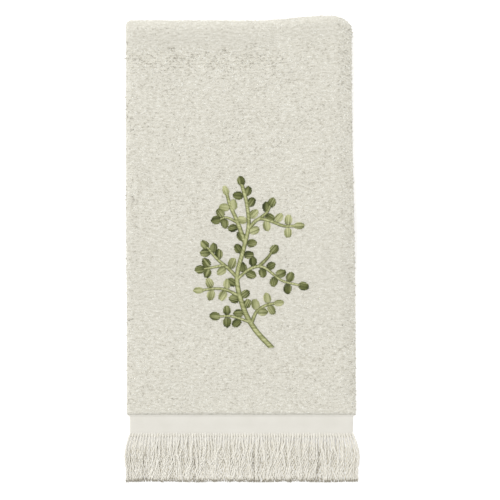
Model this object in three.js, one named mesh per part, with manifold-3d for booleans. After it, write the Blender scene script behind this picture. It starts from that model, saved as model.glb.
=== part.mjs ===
// A fingertip towel of cream terry, folded and lying face up. Its two side edges are folded behind to meet
// near the centre, and it is folded over at the top, so the back end lies under the front.
// Each end has a flat woven border and a fringe of warp yarns.
// Millimetres. +X is to the towel's right, +Y points to the top fold, +Z is up. The origin is on the surface
// under the middle of the folded towel.
import * as THREE from "three";
import { mergeVertices } from "three/addons/utils/BufferGeometryUtils.js";
import Module from "manifold-3d";

const wasm = await Module();
wasm.setup();

// The cloth as it is cut
const CUT_WIDTH = 262;
const CUT_LENGTH = 440; // both fringes included
const PILE_THICK = 2.6;
const WOVEN_THICK = 1.0;
const BORDER_LENGTH = 11.9;
const FRINGE_LENGTH = 28.7; // heading and yarns
const HEADING_LENGTH = 2.2;
const SEAM_GAP = 0.3;
const LAYER_GAP = 0.4;

// The folded towel
const HALF_LENGTH = 142;
const FOLD_LINE = 133; // where the front leaves the top fold
const TOP_LEFT = 139; // how far up the top fold reaches over its left half
const TOP_RISE = 3; // and how much further at its highest, near the right corner
const RISE_FROM = 8;
const RISE_TO = 54;
const CORNER_DROP = 5.4; // the right corner is rounded off by this much
const SHIFT_FADE = 70; // the uneven top is straight again this far down

// The left and right folds of the front
const LEFT_FOLD = -70.4;
const RIGHT_FOLD_TOP = 66.7;
const RIGHT_FOLD_LOW = 69.6;
const SLANT_TOP = 118;
const SLANT_LOW = -72;
const BORDER_INSET = 1.7; // the woven border is narrower than the pile
const BACK_INSET = 0.5; // the back lies inside the front
const BACK_INSET_LENGTH = 40;

// The fringe
const FRONT_YARNS = 84;
const BACK_YARNS = 58;
const YARN_WIDTH = 1.15;
const YARN_HEIGHT = 0.9;
const YARN_ROOT = 0.8; // how deep a yarn is set in its heading
const YARN_LIFT = 0.3; // clearance of the upper yarns over the lower ones
const ROOT_LIFT = 0.05; // a yarn leaves its heading this far above its lower face
const SETTLE = 0.6; // and lies level this far on
const LOWER_STEPS = 2;
const LONGEST_EVERY = 12; // each such yarn has the full length
const HALF_SPREAD = 71.6; // how far out the front's outermost yarns reach
const RAGGED = 0.7; // how much the yarns differ in length
const FLARE_POWER = 5; // the larger, the fewer yarns spread
const FLARE_HOLD = 0.8; // the spread stays the same past this share of a yarn
const SWAY = 0.5;
const SWAY_REACH = 9;

// Soft rises of the upper face: the place of each, its width and length, and its height
const SWELLS = [
  { x: -34, y: FOLD_LINE, wide: 46, long: 9, high: 1.6 },
  { x: 40, y: FOLD_LINE, wide: 30, long: 7, high: 0.9 },
  { x: -44, y: 72, wide: 26, long: 30, high: 0.5 },
  { x: 46, y: 36, wide: 20, long: 48, high: 0.6 },
  { x: 8, y: -20, wide: 34, long: 26, high: 0.4 },
  { x: -30, y: -76, wide: 24, long: 11, high: 0.5 },
  { x: 38, y: -80, wide: 22, long: 9, high: 0.4 },
];

// Where the fringe parts, and how far the yarns on each side lean away
const PARTINGS = [
  { x: -59, lean: 0.7 },
  { x: -27, lean: 0.9 },
  { x: 8, lean: 0.8 },
  { x: 45, lean: 0.9 },
];
const PARTING_REACH = 9;

// Worked out from these
const LAYERS = 2 * PILE_THICK + LAYER_GAP; // depth of the side fold, flap and main layer
const STACK = LAYERS + LAYER_GAP; // what the front lies on where the back is under it
const FRONT_END = -HALF_LENGTH + FRINGE_LENGTH + SEAM_GAP;
const FRONT_PILE_END = FRONT_END + BORDER_LENGTH;
const FOLD_ARC = Math.PI * (LAYERS + LAYER_GAP / 2 - PILE_THICK / 2);
const BACK_TIP = FOLD_LINE - (CUT_LENGTH - (FOLD_LINE + HALF_LENGTH) - FOLD_ARC);
const BACK_END = BACK_TIP + FRINGE_LENGTH + SEAM_GAP;
const BACK_PILE_END = BACK_END + BORDER_LENGTH;
const SLOPE_TOP = BACK_PILE_END - 0.5; // the front starts down where the back's pile ends
const SLOPE_LOW = SLOPE_TOP - 76;
const PILE_STEP = 1.2; // length over which pile gives way to border

function ramp(value, from, to) {
  const share = THREE.MathUtils.clamp((value - from) / (to - from), 0, 1);
  return share * share * (3 - 2 * share);
}

function evenly(from, to, steps) {
  return Array.from({ length: steps + 1 }, (_, i) => from + ((to - from) * i) / steps);
}

// How the surface lies

function swell(x, y) {
  let high = 0;
  for (const rise of SWELLS) {
    const away = ((x - rise.x) / rise.wide) ** 2 + ((y - rise.y) / rise.long) ** 2;
    high += rise.high * Math.exp(-away);
  }
  return high * ramp(y, FRONT_PILE_END, FRONT_PILE_END + 12);
}

function lift(y) {
  return STACK * ramp(y, SLOPE_LOW, SLOPE_TOP);
}

function topEdge(x) {
  const corner = Math.max(0, (x - RISE_TO) / (RIGHT_FOLD_TOP - RISE_TO));
  return TOP_LEFT + TOP_RISE * ramp(x, RISE_FROM, RISE_TO) - CORNER_DROP * corner * corner;
}

// Half the thickness of the towel at the top fold
function foldRadius(x) {
  return (STACK + LAYERS + swell(x, FOLD_LINE)) / 2;
}

function foldShift(x) {
  return topEdge(x) - foldRadius(x) - FOLD_LINE;
}

function frontFolds(y) {
  const bordered = 1 - ramp(y, FRONT_PILE_END - PILE_STEP, FRONT_PILE_END);
  const slant = 1 - ramp(y, SLANT_LOW, SLANT_TOP);
  return {
    left: LEFT_FOLD + BORDER_INSET * bordered,
    right: RIGHT_FOLD_TOP + (RIGHT_FOLD_LOW - RIGHT_FOLD_TOP) * slant - BORDER_INSET * bordered,
  };
}

function backFolds(y) {
  const bordered = 1 - ramp(y, BACK_PILE_END - PILE_STEP, BACK_PILE_END);
  const inset = BACK_INSET * ramp(FOLD_LINE - y, 0, BACK_INSET_LENGTH) + BORDER_INSET * bordered;
  return { left: LEFT_FOLD + inset, right: RIGHT_FOLD_TOP - inset };
}

// A row across the cloth: which run it is on, its place along that run, and its thickness there

function frontRow(y) {
  const pile = ramp(y, FRONT_PILE_END - PILE_STEP, FRONT_PILE_END);
  return { run: "front", y, thick: THREE.MathUtils.lerp(WOVEN_THICK, PILE_THICK, pile), ...frontFolds(y) };
}

function backRow(y) {
  const pile = ramp(y, BACK_PILE_END - PILE_STEP, BACK_PILE_END);
  return { run: "back", y, thick: THREE.MathUtils.lerp(WOVEN_THICK, PILE_THICK, pile), ...backFolds(y) };
}

function foldRow(angle) {
  return { run: "fold", angle, thick: PILE_THICK, ...frontFolds(FOLD_LINE) };
}

function foldedDepth(row) {
  return 2 * row.thick + LAYER_GAP;
}

// How deep the outer face of the flaps lies under the outer face of the main layer
function flapDepth(row, x) {
  const loose = row.run === "front" ? swell(x, row.y) * (1 - lift(row.y) / STACK) : 0;
  return foldedDepth(row) + loose;
}

// The columns of a row, from the left flap's edge round the left fold, over the main layer, round the right
// fold to the right flap's edge. Each gives x and depth for the outer and the inner face.
const FLAP_STEPS = 5;
const TURN_STEPS = 4;
const MAIN_STEPS = 14;

function columnsOf(row) {
  const sides = [
    { edge: row.left, way: 1 },
    { edge: row.right, way: -1 },
  ].map(({ edge, way }) => {
    const radius = flapDepth(row, edge) / 2;
    return { centre: edge + way * radius, radius, way };
  });
  const [left, right] = sides;
  const main = right.centre - left.centre;
  const turns = Math.PI * (left.radius + right.radius - row.thick);
  const flap = (CUT_WIDTH - main - turns) / 2;

  const flapColumns = ({ centre, way }) =>
    evenly(flap, 0, FLAP_STEPS).map((reach) => {
      const x = centre + way * reach;
      const depth = flapDepth(row, x);
      return { outer: [x, depth], inner: [x, depth - row.thick] };
    });
  const turnColumns = ({ centre, radius, way }) =>
    evenly(-Math.PI / 2, Math.PI / 2, TURN_STEPS).map((angle) => {
      const at = (r) => [centre - way * r * Math.cos(angle), radius - r * Math.sin(angle)];
      return { outer: at(radius), inner: at(radius - row.thick) };
    });
  const mainColumns = evenly(0, 1, MAIN_STEPS).map((share) => {
    const eased = (share + (1 - Math.cos(Math.PI * share)) / 2) / 2; // closer together near the folds
    const x = left.centre + main * eased;
    return { outer: [x, 0], inner: [x, row.thick] };
  });
  return [
    ...flapColumns(left).slice(0, -1),
    ...turnColumns(left),
    ...mainColumns.slice(1, -1),
    ...turnColumns(right).reverse(),
    ...flapColumns(right).reverse().slice(1),
  ];
}

// The point of the folded towel at x, a given depth below the outer face of the main layer
function place(row, [x, depth]) {
  if (row.run === "fold") {
    const radius = foldRadius(x);
    const reach = radius - depth;
    const y = FOLD_LINE + foldShift(x) + reach * Math.cos(row.angle);
    return new THREE.Vector3(x, y, radius + reach * Math.sin(row.angle));
  }
  const y = row.y + foldShift(x) * ramp(row.y, FOLD_LINE - SHIFT_FADE, FOLD_LINE);
  if (row.run === "back") return new THREE.Vector3(x, y, depth);
  return new THREE.Vector3(x, y, lift(row.y) + foldedDepth(row) + swell(x, row.y) - depth);
}

// A closed sheet from rows of columns: its outer and inner faces and the rims that join them
function sheet(rows) {
  const grid = rows.map((row) =>
    columnsOf(row).map(({ outer, inner }) => [place(row, outer), place(row, inner)]),
  );
  const across = grid[0].length;
  const points = grid.flat(2).flatMap((p) => [p.x, p.y, p.z]);
  const at = (r, c, face) => 2 * (r * across + c) + face;
  const index = [];
  const quad = (a, b, c, d) => index.push(a, b, c, a, c, d);
  const lastRow = grid.length - 1;
  const lastColumn = across - 1;
  for (let r = 0; r < lastRow; r++) {
    for (let c = 0; c < lastColumn; c++) {
      quad(at(r, c, 0), at(r + 1, c, 0), at(r + 1, c + 1, 0), at(r, c + 1, 0));
      quad(at(r, c, 1), at(r, c + 1, 1), at(r + 1, c + 1, 1), at(r + 1, c, 1));
    }
    quad(at(r + 1, 0, 0), at(r, 0, 0), at(r, 0, 1), at(r + 1, 0, 1));
    quad(at(r, lastColumn, 0), at(r + 1, lastColumn, 0), at(r + 1, lastColumn, 1), at(r, lastColumn, 1));
  }
  for (let c = 0; c < lastColumn; c++) {
    quad(at(0, c, 0), at(0, c + 1, 0), at(0, c + 1, 1), at(0, c, 1));
    quad(at(lastRow, c + 1, 0), at(lastRow, c, 0), at(lastRow, c, 1), at(lastRow, c + 1, 1));
  }
  return closedGeometry(points, index);
}

function closedGeometry(points, index) {
  const geometry = new THREE.BufferGeometry();
  geometry.setAttribute("position", new THREE.Float32BufferAttribute(points, 3));
  geometry.setIndex(index);
  return geometry;
}

// The cloth, from its back end up to the top fold, over it and down the front

function clothRows() {
  const back = [
    ...evenly(BACK_END, BACK_PILE_END - PILE_STEP, 1),
    ...evenly(BACK_PILE_END, FOLD_LINE, 7).slice(0, -1),
  ];
  const front = [
    ...evenly(FOLD_LINE, 103, 6).slice(1),
    ...evenly(103, SLOPE_TOP, 5).slice(1),
    ...evenly(SLOPE_TOP, SLOPE_LOW, 8).slice(1),
    ...evenly(SLOPE_LOW, FRONT_PILE_END, 4).slice(1),
    ...evenly(FRONT_PILE_END - PILE_STEP, FRONT_END, 1),
  ];
  return [
    ...back.map(backRow),
    ...evenly(-Math.PI / 2, Math.PI / 2, 8).map(foldRow),
    ...front.map(frontRow),
  ];
}

// A fringe: its heading is folded like the cloth, and its yarns lie in two layers

// A small steady difference between yarns, from -1 to 1
function vary(number, seed) {
  const turn = Math.sin(number * 12.9898 + seed * 78.233) * 43758.5453;
  return 2 * (turn - Math.floor(turn)) - 1;
}

// How far a yarn has moved sideways at a share of its length. edge is 0 in the middle of the fringe and -1 or
// 1 at its sides, where the yarns spread by flare.
function yarnShift(x, edge, flare, share) {
  const outward = Math.sign(edge) * Math.abs(edge) ** FLARE_POWER;
  const spread = flare * outward * Math.sin(Math.PI * Math.min(share, FLARE_HOLD));
  let lean = SWAY * Math.sin(x / SWAY_REACH) * Math.sin(Math.PI * share);
  for (const p of PARTINGS) {
    const away = x - p.x;
    lean += p.lean * Math.sign(away) * Math.exp(-Math.abs(away) / PARTING_REACH) * share * share;
  }
  return spread + lean * (1 - Math.abs(outward));
}

// One yarn: a three-sided strand with a flat side down
function yarn(stations) {
  const points = [];
  for (const { x, y, z } of stations) {
    points.push(x - YARN_WIDTH / 2, y, z, x + YARN_WIDTH / 2, y, z, x, y, z + YARN_HEIGHT);
  }
  const index = [2, 1, 0];
  for (let s = 0; s < stations.length - 1; s++) {
    for (let side = 0; side < 3; side++) {
      const a = 3 * s + side;
      const b = 3 * s + ((side + 1) % 3);
      index.push(a, b, a + 3, b, b + 3, a + 3);
    }
  }
  const last = 3 * (stations.length - 1);
  index.push(last, last + 1, last + 2);
  return closedGeometry(points, index);
}

function solidOf(geometry) {
  const merged = mergeVertices(geometry, 1e-4);
  const vertProperties = merged.getAttribute("position").array;
  return new wasm.Manifold(
    new wasm.Mesh({ numProp: 3, vertProperties, triVerts: new Uint32Array(merged.index.array) }),
  );
}

function geometryOf(solid) {
  const { vertProperties, triVerts } = solid.getMesh();
  return closedGeometry(Array.from(vertProperties), Array.from(triVerts));
}

// rowAt gives the cloth's row at a place along it. clothEnd is where the cloth ends, and tip is where the
// yarns do. Yarns leave the main layer all the way across, and the flaps wherever those reach.
function fringe({ rowAt, clothEnd, tip, yarns, steps, spread }) {
  const top = clothEnd - SEAM_GAP;
  const low = top - HEADING_LENGTH;
  const row = rowAt(low);
  const faceUp = row.run === "front"; // the flaps lie under the main layer here, and on it at the back
  const heading = sheet(faceUp ? [rowAt(top), row] : [row, rowAt(top)]);
  const columns = columnsOf(row);
  const leftFlapEnd = columns.at(0).outer[0] - YARN_WIDTH;
  const rightFlapEnd = columns.at(-1).outer[0] + YARN_WIDTH;
  const onFlap = (x) => x < leftFlapEnd || x > rightFlapEnd;
  const halfWidth = (row.right - row.left) / 2 - YARN_WIDTH;
  const middle = (row.right + row.left) / 2;
  const upperRoot = ROOT_LIFT + WOVEN_THICK + LAYER_GAP;
  const layers = [
    { level: 0, root: ROOT_LIFT, bed: 0, steps: LOWER_STEPS, isFlap: faceUp },
    { level: 1, root: upperRoot, bed: YARN_HEIGHT + YARN_LIFT, steps, isFlap: !faceUp },
  ];
  const parts = [solidOf(heading)];
  for (const layer of layers) {
    for (let i = 0; i < yarns; i++) {
      const edge = (2 * i) / (yarns - 1) - 1;
      const x = middle + halfWidth * edge;
      if (layer.isFlap && !onFlap(x)) continue;
      const outermost = middle + Math.sign(edge) * (halfWidth + YARN_WIDTH / 2);
      const flare = Math.max(0, spread - Math.abs(outermost));
      const end = tip + (i % LONGEST_EVERY ? RAGGED * (1 + vary(i, layer.level)) : 0);
      const stations = [{ x, y: low + YARN_ROOT, z: layer.root }];
      for (const share of evenly(0, 1, layer.steps)) {
        stations.push({
          x: x + yarnShift(x, edge, flare, share),
          y: THREE.MathUtils.lerp(low - SETTLE, end, share),
          z: layer.bed,
        });
      }
      parts.push(solidOf(yarn(stations)));
    }
  }
  return geometryOf(wasm.Manifold.union(parts));
}

const cream = new THREE.MeshStandardMaterial({ color: 0xdcd9cd, roughness: 0.95, metalness: 0 });
const creamYarn = new THREE.MeshStandardMaterial({ color: 0xdcd8cc, roughness: 0.9, metalness: 0 });

const towel = new THREE.Group();

function addPiece(name, geometry, material) {
  const piece = new THREE.Mesh(geometry, material);
  piece.name = name;
  towel.add(piece);
}

addPiece("towel_cloth", sheet(clothRows()), cream);
addPiece(
  "front_fringe",
  fringe({
    rowAt: frontRow,
    clothEnd: FRONT_END,
    tip: -HALF_LENGTH,
    yarns: FRONT_YARNS,
    steps: 4,
    spread: HALF_SPREAD,
  }),
  creamYarn,
);
addPiece(
  "back_fringe",
  fringe({ rowAt: backRow, clothEnd: BACK_END, tip: BACK_TIP, yarns: BACK_YARNS, steps: 2, spread: 0 }),
  creamYarn,
);

export default towel;
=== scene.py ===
import math

import bpy
import numpy as np
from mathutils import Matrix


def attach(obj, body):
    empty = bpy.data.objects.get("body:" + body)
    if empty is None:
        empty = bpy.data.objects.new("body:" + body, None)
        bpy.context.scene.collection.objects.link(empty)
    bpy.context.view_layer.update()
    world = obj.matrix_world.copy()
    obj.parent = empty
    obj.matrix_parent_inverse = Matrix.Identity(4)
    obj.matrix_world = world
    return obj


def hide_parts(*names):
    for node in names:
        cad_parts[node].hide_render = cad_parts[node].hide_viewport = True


# A folded fingertip towel: looped terry, flat woven borders, fringes and an embroidered leafy sprig.
# The towel's measures below are in millimetres, as in the part's source, and MM turns them into metres.

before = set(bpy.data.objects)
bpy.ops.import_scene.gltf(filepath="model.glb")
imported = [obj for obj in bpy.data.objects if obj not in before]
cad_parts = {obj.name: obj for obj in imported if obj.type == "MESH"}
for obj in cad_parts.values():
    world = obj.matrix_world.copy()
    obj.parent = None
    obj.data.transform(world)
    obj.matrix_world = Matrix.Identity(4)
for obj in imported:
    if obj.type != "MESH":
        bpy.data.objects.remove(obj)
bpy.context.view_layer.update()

MM = 0.001
UP = np.array([0, 0, 1.0])

# Measures shared with the solids

CUT_WIDTH = 262
CUT_LENGTH = 440
PILE_THICK = 2.6
WOVEN_THICK = 1.0
BORDER_LENGTH = 11.9
FRINGE_LENGTH = 28.7
HEADING_LENGTH = 2.2
SEAM_GAP = 0.3
LAYER_GAP = 0.4

HALF_LENGTH = 142
FOLD_LINE = 133
TOP_LEFT = 139
TOP_RISE = 3
RISE_FROM = 8
RISE_TO = 54
CORNER_DROP = 5.4
SHIFT_FADE = 70

LEFT_FOLD = -70.4
RIGHT_FOLD_TOP = 66.7
RIGHT_FOLD_LOW = 69.6
SLANT_TOP = 118
SLANT_LOW = -72
BORDER_INSET = 1.7
BACK_INSET = 0.5
BACK_INSET_LENGTH = 40
PILE_STEP = 1.2

SLOPE_GAP = 0.5  # the front starts down this far past the back's pile
SLOPE_RUN = 76
FACE_FADE = 12

FRONT_YARNS = 84
BACK_YARNS = 58
YARN_WIDTH = 1.15
LONGEST_EVERY = 12
HALF_SPREAD = 71.6
RAGGED = 0.7
FLARE_POWER = 5
SWAY = 0.5
SWAY_REACH = 9
PARTING_REACH = 9

# Soft rises of the upper face: x, y, width, length, height
SWELLS = [
    (-34, FOLD_LINE, 46, 9, 1.6),
    (40, FOLD_LINE, 30, 7, 0.9),
    (-44, 72, 26, 30, 0.5),
    (46, 36, 20, 48, 0.6),
    (8, -20, 34, 26, 0.4),
    (-30, -76, 24, 11, 0.5),
    (38, -80, 22, 9, 0.4),
]

# Where the fringe parts: x, lean
PARTINGS = [(-59, 0.7), (-27, 0.9), (8, 0.8), (45, 0.9)]

LAYERS = 2 * PILE_THICK + LAYER_GAP
STACK = LAYERS + LAYER_GAP
FRONT_END = -HALF_LENGTH + FRINGE_LENGTH + SEAM_GAP
FRONT_PILE_END = FRONT_END + BORDER_LENGTH
FOLD_ARC = math.pi * (LAYERS + LAYER_GAP / 2 - PILE_THICK / 2)
BACK_TIP = FOLD_LINE - (CUT_LENGTH - (FOLD_LINE + HALF_LENGTH) - FOLD_ARC)
BACK_END = BACK_TIP + FRINGE_LENGTH + SEAM_GAP
BACK_PILE_END = BACK_END + BORDER_LENGTH
SLOPE_TOP = BACK_PILE_END - SLOPE_GAP
SLOPE_LOW = SLOPE_TOP - SLOPE_RUN

BACK_RUN = FOLD_LINE - BACK_END
FRONT_RUN = FOLD_LINE - FRONT_END
CLOTH_LENGTH = BACK_RUN + FOLD_ARC + FRONT_RUN

# Measures of the looks alone

# Soft troughs of the upper face, each along a line: x, y at its ends, half width, depth
TROUGHS = [
    (-68, 119.5, 16, 117.5, 8, 1.7),
    (22, 125, 62, 123, 4.5, 0.35),
    (-60, 101, -24, 97, 6, 0.3),
    (6, 99, 44, 104, 5, 0.25),
    (-14, 62, 20, 70, 8, 0.25),
    (-62, -62, -44, -90, 7, 0.3),
    (22, -74, 60, -60, 7, 0.25),
]
RIGHT_ROLL = 9  # the upper face rounds off over this much at the right fold
RIGHT_DROP = 2.5  # and by this much
LEFT_ROLL = 4
LEFT_DROP = 0.5

FLARE_HOLD = 0.72  # past this share of its length the fringe keeps its spread

GROUND_DEEP = 0.2  # the terry's ground lies this far under the cloth's outer face
FOLD_DEEP = 0.12  # and this far round the top and right folds, where the loops are pulled flat
PULLED_PAST_TOP = 4
PULLED_PAST_SIDE = 0.08
GROUND_THICK = 1.1
GROUND_SHORT = 0.15  # the ground ends this far before the pile does
LOOP_DEEP = 0.72  # the loops start this far under the outer face
BORDER_THICK = 0.7
BORDER_ARCH = 2.1  # the front border starts this much higher than in the solids
BORDER_DIVE = 0.35  # it starts this far under the outer face, inside the end of the ground
BORDER_TUCK = 1.2  # and this far before the pile's end
HEADING_SHOWN = 2.1  # the last of the weave, which sinks between the roots of the yarns
HEADING_SINK = 0.85
ROOTS_SHOW = 1.9  # the yarns start to show this far before it ends
THINNEST = 0.2


def ramp(value, start, end):
    share = np.clip((value - start) / (end - start), 0, 1)
    return share * share * (3 - 2 * share)


def lerp(a, b, share):
    return a + (b - a) * share


def unit(vectors):
    return vectors / np.maximum(np.linalg.norm(vectors, axis=-1, keepdims=True), 1e-9)


# How the cloth lies, as in the source


def swell(x, y):
    high = sum(h * np.exp(-(((x - sx) / w) ** 2) - ((y - sy) / l) ** 2) for sx, sy, w, l, h in SWELLS)
    return high * ramp(y, FRONT_PILE_END, FRONT_PILE_END + FACE_FADE)


def lift(y):
    return STACK * ramp(y, SLOPE_LOW, SLOPE_TOP)


def top_edge(x):
    corner = np.maximum(0, (x - RISE_TO) / (RIGHT_FOLD_TOP - RISE_TO))
    return TOP_LEFT + TOP_RISE * ramp(x, RISE_FROM, RISE_TO) - CORNER_DROP * corner * corner


def fold_radius(x):
    return (STACK + LAYERS + swell(x, FOLD_LINE)) / 2


def fold_shift(x):
    return top_edge(x) - fold_radius(x) - FOLD_LINE


def trough(x, y):
    """How much the looks lower the upper face, beyond the solids' own form."""
    deep = np.zeros(np.broadcast(x, y).shape)
    for x0, y0, x1, y1, half, depth in TROUGHS:
        run = np.array([x1 - x0, y1 - y0])
        share = np.clip(((x - x0) * run[0] + (y - y0) * run[1]) / (run @ run), 0, 1)
        away = (x - x0 - share * run[0]) ** 2 + (y - y0 - share * run[1]) ** 2
        deep = deep + depth * np.exp(-away / half**2)
    right = RIGHT_FOLD_TOP + (RIGHT_FOLD_LOW - RIGHT_FOLD_TOP) * (1 - ramp(y, SLANT_LOW, SLANT_TOP))
    deep = deep + RIGHT_DROP * ramp(x, right - RIGHT_ROLL, right)
    deep = deep + LEFT_DROP * (1 - ramp(x, LEFT_FOLD, LEFT_FOLD + LEFT_ROLL))
    return deep * ramp(y, FRONT_PILE_END, FRONT_PILE_END + FACE_FADE)


class Rows:
    """Rows across the cloth, each a given length from its back end."""

    def __init__(self, along):
        along = np.asarray(along, float)
        self.back = along < BACK_RUN
        self.front = along > BACK_RUN + FOLD_ARC
        past = along - BACK_RUN - FOLD_ARC
        self.y = np.where(self.back, BACK_END + along, np.where(self.front, FOLD_LINE - past, FOLD_LINE))
        self.angle = math.pi * (np.clip((along - BACK_RUN) / FOLD_ARC, 0, 1) - 0.5)
        pile_end = np.where(self.back, BACK_PILE_END, FRONT_PILE_END)
        self.pile = ramp(self.y, pile_end - PILE_STEP, pile_end)
        self.thick = lerp(WOVEN_THICK, PILE_THICK, self.pile)
        inset = BORDER_INSET * (1 - self.pile)
        inset = inset + np.where(self.back, BACK_INSET * ramp(FOLD_LINE - self.y, 0, BACK_INSET_LENGTH), 0)
        slant = np.where(self.back, 0, 1 - ramp(self.y, SLANT_LOW, SLANT_TOP))
        self.left = LEFT_FOLD + inset
        self.right = RIGHT_FOLD_TOP + (RIGHT_FOLD_LOW - RIGHT_FOLD_TOP) * slant - inset
        self.left_turn = self.flap_depth(self.left) / 2
        self.right_turn = self.flap_depth(self.right) / 2
        self.left_centre = self.left + self.left_turn
        self.right_centre = self.right - self.right_turn
        main = self.right_centre - self.left_centre
        left_arc = math.pi * (self.left_turn - self.thick / 2)
        right_arc = math.pi * (self.right_turn - self.thick / 2)
        flap = (CUT_WIDTH - main - left_arc - right_arc) / 2
        # where the flaps, turns and main layer begin and end, from the left flap's edge
        self.ends = np.stack(
            [flap * 0, flap, flap + left_arc, flap + left_arc + main, CUT_WIDTH - flap, flap * 0 + CUT_WIDTH]
        )

    def flap_depth(self, x):
        loose = np.where(self.front, swell(x, self.y) * (1 - lift(self.y) / STACK), 0)
        return 2 * self.thick + LAYER_GAP + loose

    def across(self, column):
        """The distance across for a column: 0 to 1 is the left flap, to 2 its turn, to 3 the main layer."""
        part = np.clip(np.floor(column).astype(int), 0, 4)
        share = column - part
        low = np.take_along_axis(self.ends, part[None], 0)[0]
        high = np.take_along_axis(self.ends, part[None] + 1, 0)[0]
        return lerp(low, high, share)

    def points(self, across, deep):
        """The points a given distance across and below the outer face."""
        _, turn, main, right, flap, _ = self.ends
        left_angle = math.pi * (np.clip((across - turn) / (main - turn), 0, 1) - 0.5)
        right_angle = math.pi * (0.5 - np.clip((across - right) / (flap - right), 0, 1))
        left_reach, right_reach = self.left_turn - deep, self.right_turn - deep
        parts = [across < turn, across < main, across <= right, across < flap]
        x = np.select(
            parts,
            [
                self.left_centre + turn - across,
                self.left_centre - left_reach * np.cos(left_angle),
                self.left_centre + across - main,
                self.right_centre + right_reach * np.cos(right_angle),
            ],
            self.right_centre - (across - flap),
        )
        depth = np.select(
            parts,
            [
                self.flap_depth(x) - deep,
                self.left_turn - left_reach * np.sin(left_angle),
                deep + 0 * x,
                self.right_turn - right_reach * np.sin(right_angle),
            ],
            self.flap_depth(x) - deep,
        )
        # how far up the folded layers a point is, and a little more above them
        upper = np.clip(1 - depth / self.flap_depth(x), 0, 1.2)
        radius = fold_radius(x)
        reach = radius - depth
        y = np.where(
            self.back | self.front,
            self.y + fold_shift(x) * ramp(self.y, FOLD_LINE - SHIFT_FADE, FOLD_LINE),
            FOLD_LINE + fold_shift(x) + reach * np.cos(self.angle),
        )
        z = np.select(
            [self.back, self.front],
            [depth, lift(self.y) + 2 * self.thick + LAYER_GAP + swell(x, self.y) - depth],
            radius + reach * np.sin(self.angle),
        )
        turned = np.where(self.front, 1, np.where(self.back, 0, ramp(self.angle, 0, math.pi / 2)))
        arched = BORDER_ARCH * (1 - self.pile) * (1 - ramp(FRONT_PILE_END - self.y, 0, BORDER_LENGTH))
        z = z + (np.where(self.front, arched, 0) - trough(x, self.y) * turned) * upper
        return np.stack([x, y, z], -1)


def face_height(x, y):
    """Height of the front's outer face."""
    return lift(y) + LAYERS + swell(x, y) - trough(x, y)


# Meshes

CELL_MARGIN = 0.08  # round each strand's cell on the map, as a share of the cell


def tube_faces(strands, stations, sides, capped):
    start = (np.arange(strands)[:, None, None] * stations + np.arange(stations - 1)[:, None]) * sides
    side = np.arange(sides)
    after = (side + 1) % sides
    a, b = start + side, start + after
    quads = np.stack([a, a + sides, b + sides, b], -1).reshape(-1, 4)
    first = np.arange(strands)[:, None] * stations * sides + side
    last = first[:, ::-1] + (stations - 1) * sides
    return [quads, first, last] if capped else [quads]


def tubes(paths, radii, sides, reference, tones, capped=False, flat=1.0):
    """Points, faces, places on the map and tones of tubes along paths (strands, stations, 3). reference is a
    direction that lies across each strand, and flat is how high a section is for its width."""
    strands, stations = paths.shape[:2]
    tangent = unit(np.gradient(paths, axis=1))
    across = unit(np.cross(tangent, np.broadcast_to(reference, paths.shape)))
    up = np.cross(across, tangent)
    turn = 2 * math.pi * (np.arange(sides) + 0.25) / sides
    ring = np.cos(turn)[:, None] * across[:, :, None] + flat * np.sin(turn)[:, None] * up[:, :, None]
    reach = np.broadcast_to(radii, paths.shape[:2])[:, :, None, None]
    points = paths[:, :, None] + reach * ring
    tones = np.broadcast_to(np.reshape(tones, (strands, -1, 1)), (strands, stations, sides))
    # each strand has its own cell on the map
    cells = math.ceil(math.sqrt(strands))
    corner = np.stack([np.arange(strands) % cells, np.arange(strands) // cells], -1)[:, None, None]
    k, s = np.meshgrid(np.arange(stations) / stations, np.arange(sides) / sides, indexing="ij")
    places = (corner + CELL_MARGIN + (1 - 2 * CELL_MARGIN) * np.stack([k, s], -1)) / cells
    return points, tube_faces(strands, stations, sides, capped), places, tones


def grid_faces(rows, columns):
    a = (np.arange(rows - 1)[:, None] * columns + np.arange(columns - 1)).ravel()
    return np.stack([a, a + columns, a + columns + 1, a + 1], -1)


def make_piece(name, shape, material, cloth_map=None):
    """A piece from its points, faces as (n, corners) arrays, places on its map and tones."""
    points, faces, places, tones = shape
    points = points.reshape(-1, 3)
    mesh = bpy.data.meshes.new(name)
    mesh.vertices.add(len(points))
    mesh.vertices.foreach_set("co", (points * MM).ravel().astype(np.float32))
    corners = np.concatenate([f.ravel() for f in faces]).astype(np.int32)
    sizes = np.concatenate([np.full(len(f), f.shape[1]) for f in faces])
    mesh.loops.add(len(corners))
    mesh.loops.foreach_set("vertex_index", corners)
    mesh.polygons.add(len(sizes))
    mesh.polygons.foreach_set("loop_start", (np.cumsum(sizes) - sizes).astype(np.int32))
    mesh.polygons.foreach_set("use_smooth", np.ones(len(sizes), bool))
    mesh.update(calc_edges=True)
    for layer, flat in (("OFBake", places), ("cloth", cloth_map)):
        if flat is not None:
            flat = flat.reshape(-1, 2)[corners].ravel().astype(np.float32)
            mesh.uv_layers.new(name=layer).uv.foreach_set("vector", flat)
    tone = mesh.attributes.new("tone", "FLOAT", "POINT")
    tone.data.foreach_set("value", tones.ravel().astype(np.float32))
    mesh.materials.append(material)
    piece = bpy.data.objects.new(name, mesh)
    bpy.context.scene.collection.objects.link(piece)
    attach(piece, "root")
    return piece


# Materials


def new_material(name):
    material = bpy.data.materials.new(name)
    material.use_nodes = True
    tree = material.node_tree
    return material, tree, tree.nodes["Principled BSDF"]


def add_node(tree, kind, **values):
    node = tree.nodes.new(kind)
    for key, value in values.items():
        if key in node.inputs:
            node.inputs[key].default_value = value
        else:
            setattr(node, key, value)
    return node


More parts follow.
